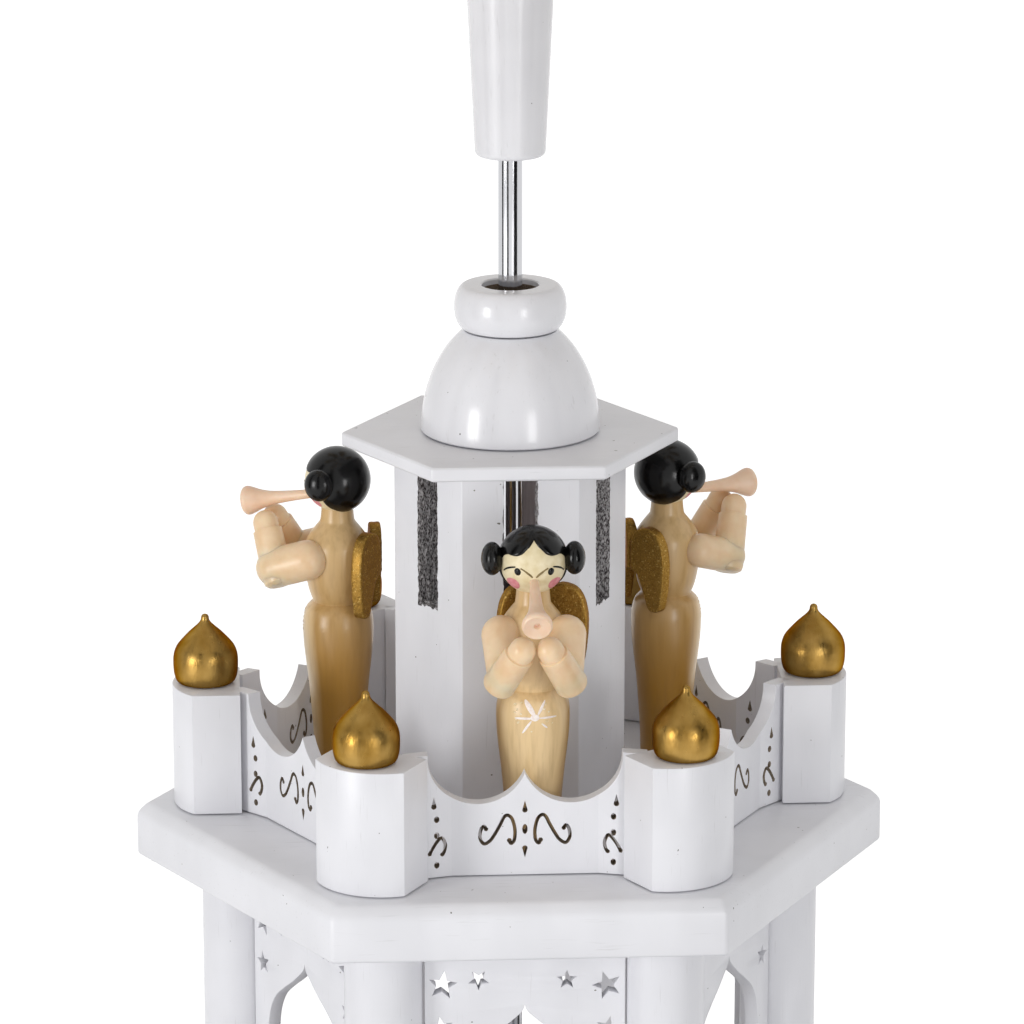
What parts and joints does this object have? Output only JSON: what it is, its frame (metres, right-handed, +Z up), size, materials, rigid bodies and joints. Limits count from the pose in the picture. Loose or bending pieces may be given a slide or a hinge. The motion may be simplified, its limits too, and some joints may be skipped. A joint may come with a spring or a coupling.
{
  "type": "candle carousel",
  "caption": "Two-storey hexagonal candle carousel in painted wood: arched lower storey, fenced gallery with trumpeting figures, slotted tower with dome, and a rotor of paddles on a spindle.",
  "frame": {"origin": "on the spindle's axis, at the underside of the base plate", "axes": "+Z up along the spindle; the front side of the hexagon faces -Y and a corner points along +X"},
  "size_m": [0.262, 0.262, 0.3557],
  "materials": {
    "white_paint": "satin white paint on turned and sawn wood",
    "gilt": "antique gold leaf on turned wood",
    "turned_wood": "satin lacquer on pale turned wood",
    "gold_glitter": "gold glitter on thin board",
    "paddle_wood": "raw sanded wood",
    "steel": "bright drawn steel"
  },
  "bodies": {
    "root": {"base_plate": "white_paint", "pivot_cup": "steel", "candle_cup_1": "white_paint", "candle_cup_2": "white_paint", "candle_cup_3": "white_paint", "candle_cup_4": "white_paint", "candle_cup_5": "white_paint", "candle_cup_6": "white_paint", "column_1": "white_paint", "column_2": "white_paint", "column_3": "white_paint", "column_4": "white_paint", "column_5": "white_paint", "column_6": "white_paint", "arch_panel_1": "white_paint", "arch_panel_2": "white_paint", "arch_panel_3": "white_paint", "arch_panel_4": "white_paint", "arch_panel_5": "white_paint", "arch_panel_6": "white_paint", "gallery_platform": "white_paint", "fence_post_1": "white_paint", "fence_post_2": "white_paint", "fence_post_3": "white_paint", "fence_post_4": "white_paint", "fence_post_5": "white_paint", "fence_post_6": "white_paint", "onion_finial_1": "gilt", "onion_finial_2": "gilt", "onion_finial_3": "gilt", "onion_finial_4": "gilt", "onion_finial_5": "gilt", "onion_finial_6": "gilt", "fence_panel_1": "white_paint", "fence_panel_2": "white_paint", "fence_panel_3": "white_paint", "fence_panel_4": "white_paint", "fence_panel_5": "white_paint", "fence_panel_6": "white_paint", "tower": "white_paint", "roof_plate": "white_paint", "dome": "white_paint", "collar_ring": "white_paint", "angel_front": "turned_wood", "angel_front_wings": "gold_glitter", "angel_right": "turned_wood", "angel_right_wings": "gold_glitter", "angel_left": "turned_wood", "angel_left_wings": "gold_glitter"},
    "spindle": {"spindle_rod": "steel", "turntable": "white_paint", "rotor_hub": "white_paint"},
    "paddle_1": {"paddle_1": "paddle_wood"},
    "paddle_2": {"paddle_2": "paddle_wood"},
    "paddle_3": {"paddle_3": "paddle_wood"},
    "paddle_4": {"paddle_4": "paddle_wood"},
    "paddle_5": {"paddle_5": "paddle_wood"},
    "paddle_6": {"paddle_6": "paddle_wood"},
    "paddle_7": {"paddle_7": "paddle_wood"},
    "paddle_8": {"paddle_8": "paddle_wood"}
  },
  "joints": [
    {"name": "spindle_spin", "type": "hinge", "parent": "root", "child": "spindle", "pos_m": [0, 0, 0.01], "axis": [0, 0, 1], "continuous": true},
    {"name": "paddle_1_pitch", "type": "hinge", "parent": "spindle", "child": "paddle_1", "pos_m": [0, 0, 0.34035], "axis": [1, 0, 0], "range_deg": [-90, 90]},
    {"name": "paddle_2_pitch", "type": "hinge", "parent": "spindle", "child": "paddle_2", "pos_m": [0, 0, 0.34035], "axis": [0.7071, 0.7071, 0], "range_deg": [-90, 90]},
    {"name": "paddle_3_pitch", "type": "hinge", "parent": "spindle", "child": "paddle_3", "pos_m": [0, 0, 0.34035], "axis": [0, 1, 0], "range_deg": [-90, 90]},
    {"name": "paddle_4_pitch", "type": "hinge", "parent": "spindle", "child": "paddle_4", "pos_m": [0, 0, 0.34035], "axis": [-0.7071, 0.7071, 0], "range_deg": [-90, 90]},
    {"name": "paddle_5_pitch", "type": "hinge", "parent": "spindle", "child": "paddle_5", "pos_m": [0, 0, 0.34035], "axis": [-1, 0, 0], "range_deg": [-90, 90]},
    {"name": "paddle_6_pitch", "type": "hinge", "parent": "spindle", "child": "paddle_6", "pos_m": [0, 0, 0.34035], "axis": [-0.7071, -0.7071, 0], "range_deg": [-90, 90]},
    {"name": "paddle_7_pitch", "type": "hinge", "parent": "spindle", "child": "paddle_7", "pos_m": [0, 0, 0.34035], "axis": [0, -1, 0], "range_deg": [-90, 90]},
    {"name": "paddle_8_pitch", "type": "hinge", "parent": "spindle", "child": "paddle_8", "pos_m": [0, 0, 0.34035], "axis": [0.7071, -0.7071, 0], "range_deg": [-90, 90]}
  ]
}
